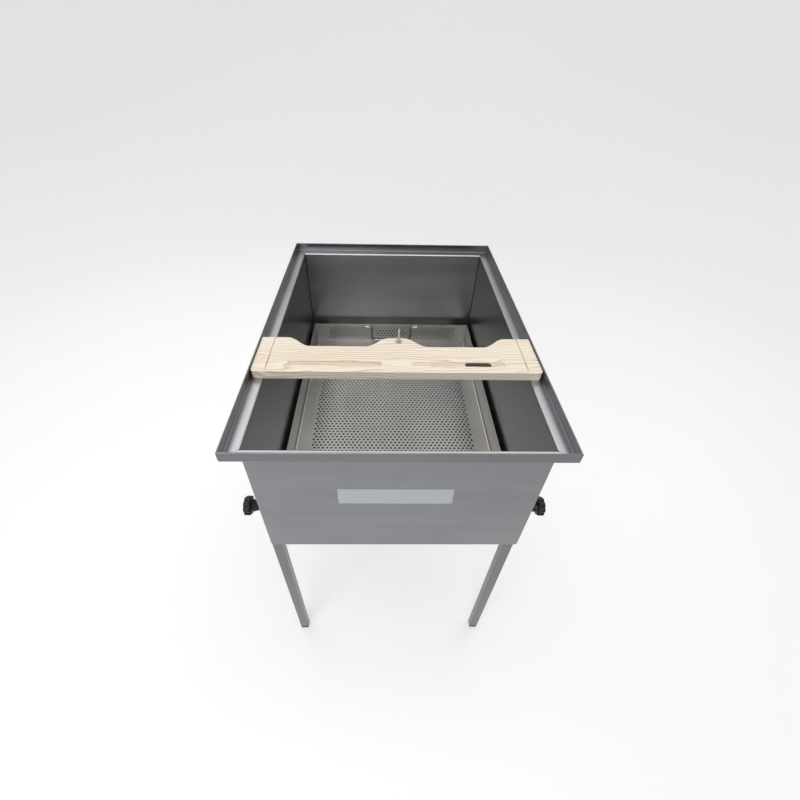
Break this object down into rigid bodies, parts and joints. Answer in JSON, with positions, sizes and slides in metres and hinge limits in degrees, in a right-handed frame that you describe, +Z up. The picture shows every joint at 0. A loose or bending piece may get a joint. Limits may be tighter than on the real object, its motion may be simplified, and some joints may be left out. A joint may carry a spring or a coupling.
{
  "type": "uncapping tank",
  "caption": "Steel uncapping tank on legs: open tub with a hemmed rim, lift-out perforated basket, sliding wooden frame bar with a spike, and a rear honey gate.",
  "frame": {"origin": "on the ground, under the middle of the whole object with its gate", "axes": "+Z up, -Y towards the front of the tub, +X to the right as seen from the front"},
  "size_m": [0.5576, 0.7336, 0.8774],
  "materials": {
    "steel_sheet": "satin rolled sheet",
    "steel_leg": "satin tube",
    "steel_basket": "bright perforated sheet",
    "steel_rod": "bright drawn",
    "wood": "planed and unvarnished",
    "knob_plastic": "moulded gloss",
    "brass": "turned",
    "foot_plastic": "moulded matte",
    "gate_nylon": "moulded satin",
    "seal_rubber": "smooth"
  },
  "bodies": {
    "tank": {"tub_front_wall": "steel_sheet", "tub_rear_wall": "steel_sheet", "tub_left_wall": "steel_sheet", "tub_right_wall": "steel_sheet", "tub_floor": "steel_sheet", "rim_front": "steel_sheet", "rim_rear": "steel_sheet", "rim_left": "steel_sheet", "rim_right": "steel_sheet", "leg_guides": "steel_sheet", "basket_rail_left": "steel_sheet", "basket_rail_right": "steel_sheet", "outlet_plate": "steel_sheet", "outlet_pipe": "steel_sheet", "leg_front_left": "steel_leg", "leg_front_right": "steel_leg", "leg_rear_left": "steel_leg", "leg_rear_right": "steel_leg", "foot_front_left": "foot_plastic", "foot_front_right": "foot_plastic", "foot_rear_left": "foot_plastic", "foot_rear_right": "foot_plastic", "leg_studs": "steel_rod", "leg_washers": "steel_rod", "gate_body": "gate_nylon", "gate_seal": "seal_rubber", "gate_pivot_bolt": "steel_rod", "gate_washer": "steel_rod"},
    "basket": {"basket_floor": "steel_basket", "basket_front_wall": "steel_basket", "basket_rear_wall": "steel_basket", "basket_left_wall": "steel_basket", "basket_right_wall": "steel_basket", "handle_eyes_front": "steel_rod", "handle_eyes_rear": "steel_rod"},
    "handle_front": {"basket_handle_front": "steel_rod"},
    "handle_rear": {"basket_handle_rear": "steel_rod"},
    "bar": {"frame_rest_bar": "wood", "frame_spike": "steel_rod", "spike_washer": "steel_rod", "spike_nut": "steel_rod"},
    "gate": {"gate_blade": "gate_nylon"},
    "wing_nut": {"gate_wing_nut": "steel_rod"},
    "knob_front_left": {"knob_front_left": "knob_plastic", "knob_bush_front_left": "brass"},
    "knob_front_right": {"knob_front_right": "knob_plastic", "knob_bush_front_right": "brass"},
    "knob_rear_left": {"knob_rear_left": "knob_plastic", "knob_bush_rear_left": "brass"},
    "knob_rear_right": {"knob_rear_right": "knob_plastic", "knob_bush_rear_right": "brass"}
  },
  "joints": [
    {"name": "bar_slide", "type": "slide", "parent": "tank", "child": "bar", "axis": [0, 1, 0], "range_m": [-0.173, 0.4]},
    {"name": "basket_lift", "type": "slide", "parent": "tank", "child": "basket", "axis": [0, 0, 1], "range_m": [0, 0.14]},
    {"name": "handle_front_swing", "type": "hinge", "parent": "basket", "child": "handle_front", "pos_m": [0, -0.31615, 0.6272], "axis": [1, 0, 0], "range_deg": [0, 170]},
    {"name": "handle_rear_swing", "type": "hinge", "parent": "basket", "child": "handle_rear", "pos_m": [0, 0.28245, 0.6272], "axis": [-1, 0, 0], "range_deg": [0, 170]},
    {"name": "gate_swing", "type": "hinge", "parent": "tank", "child": "gate", "pos_m": [-0.044, 0.34835, 0.5582], "axis": [0, -1, 0], "range_deg": [0, 90]},
    {"name": "wing_nut_turn", "type": "hinge", "parent": "tank", "child": "wing_nut", "pos_m": [-0.044, 0.35665, 0.5582], "axis": [0, 1, 0], "continuous": true},
    {"name": "knob_front_left_turn", "type": "hinge", "parent": "tank", "child": "knob_front_left", "pos_m": [-0.266, -0.29435, 0.61], "axis": [-1, 0, 0], "continuous": true},
    {"name": "knob_front_right_turn", "type": "hinge", "parent": "tank", "child": "knob_front_right", "pos_m": [0.266, -0.29435, 0.61], "axis": [1, 0, 0], "continuous": true},
    {"name": "knob_rear_left_turn", "type": "hinge", "parent": "tank", "child": "knob_rear_left", "pos_m": [-0.266, 0.26065, 0.61], "axis": [-1, 0, 0], "continuous": true},
    {"name": "knob_rear_right_turn", "type": "hinge", "parent": "tank", "child": "knob_rear_right", "pos_m": [0.266, 0.26065, 0.61], "axis": [1, 0, 0], "continuous": true}
  ]
}
